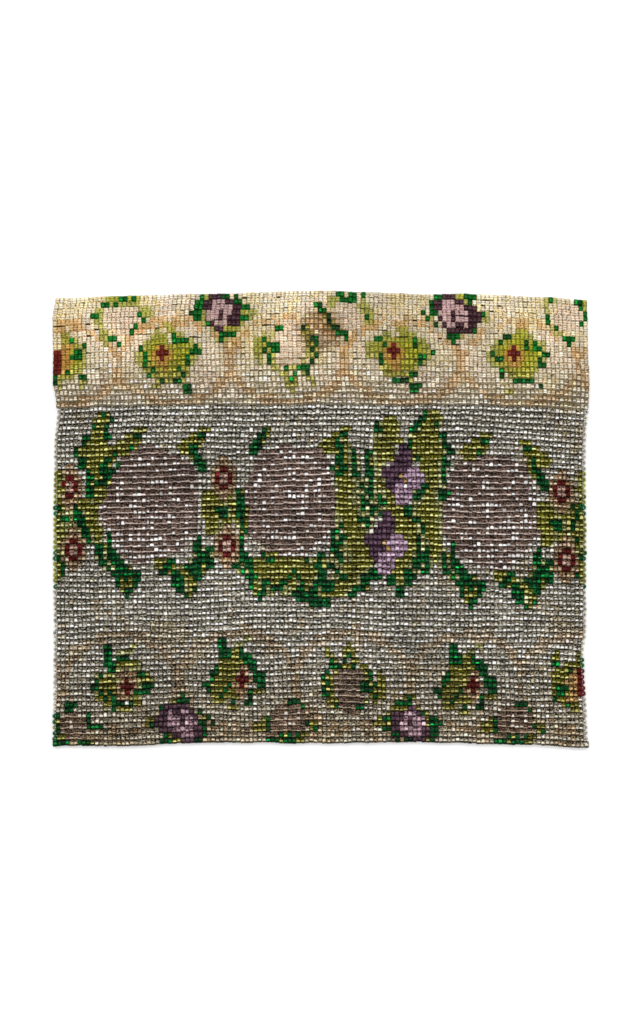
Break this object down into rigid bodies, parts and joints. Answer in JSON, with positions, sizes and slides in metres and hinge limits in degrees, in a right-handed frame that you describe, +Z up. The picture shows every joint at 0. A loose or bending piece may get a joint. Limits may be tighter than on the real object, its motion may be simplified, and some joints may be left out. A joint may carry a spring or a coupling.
{
  "type": "beaded clutch",
  "caption": "Soft bead-woven envelope clutch with a traditional floral pattern, lying flat with its flap open and a snap under the flap.",
  "frame": {"origin": "under the middle of the clutch, on the surface that it lies on", "axes": "+X along the bead rows, +Y from the bottom fold towards the flap's free edge, +Z up from the surface, out of the back panel"},
  "size_m": [0.2126, 0.1806, 0.0136],
  "materials": {
    "pouch_beadwork": "clear and coloured glass seed beads woven in rows on dark thread",
    "flap_beadwork": "the same beads in a single layer that lets light through",
    "edging_beads": "clear glass seed beads laced over the side edge",
    "snap_metal": "dull antique brass"
  },
  "bodies": {
    "root": {"back_panel": "pouch_beadwork", "front_panel": "pouch_beadwork", "bottom_fold": "pouch_beadwork", "flap": "flap_beadwork", "left_seam": "edging_beads", "right_seam": "edging_beads", "snap_stud": "snap_metal", "snap_socket": "snap_metal"}
  },
  "joints": []
}
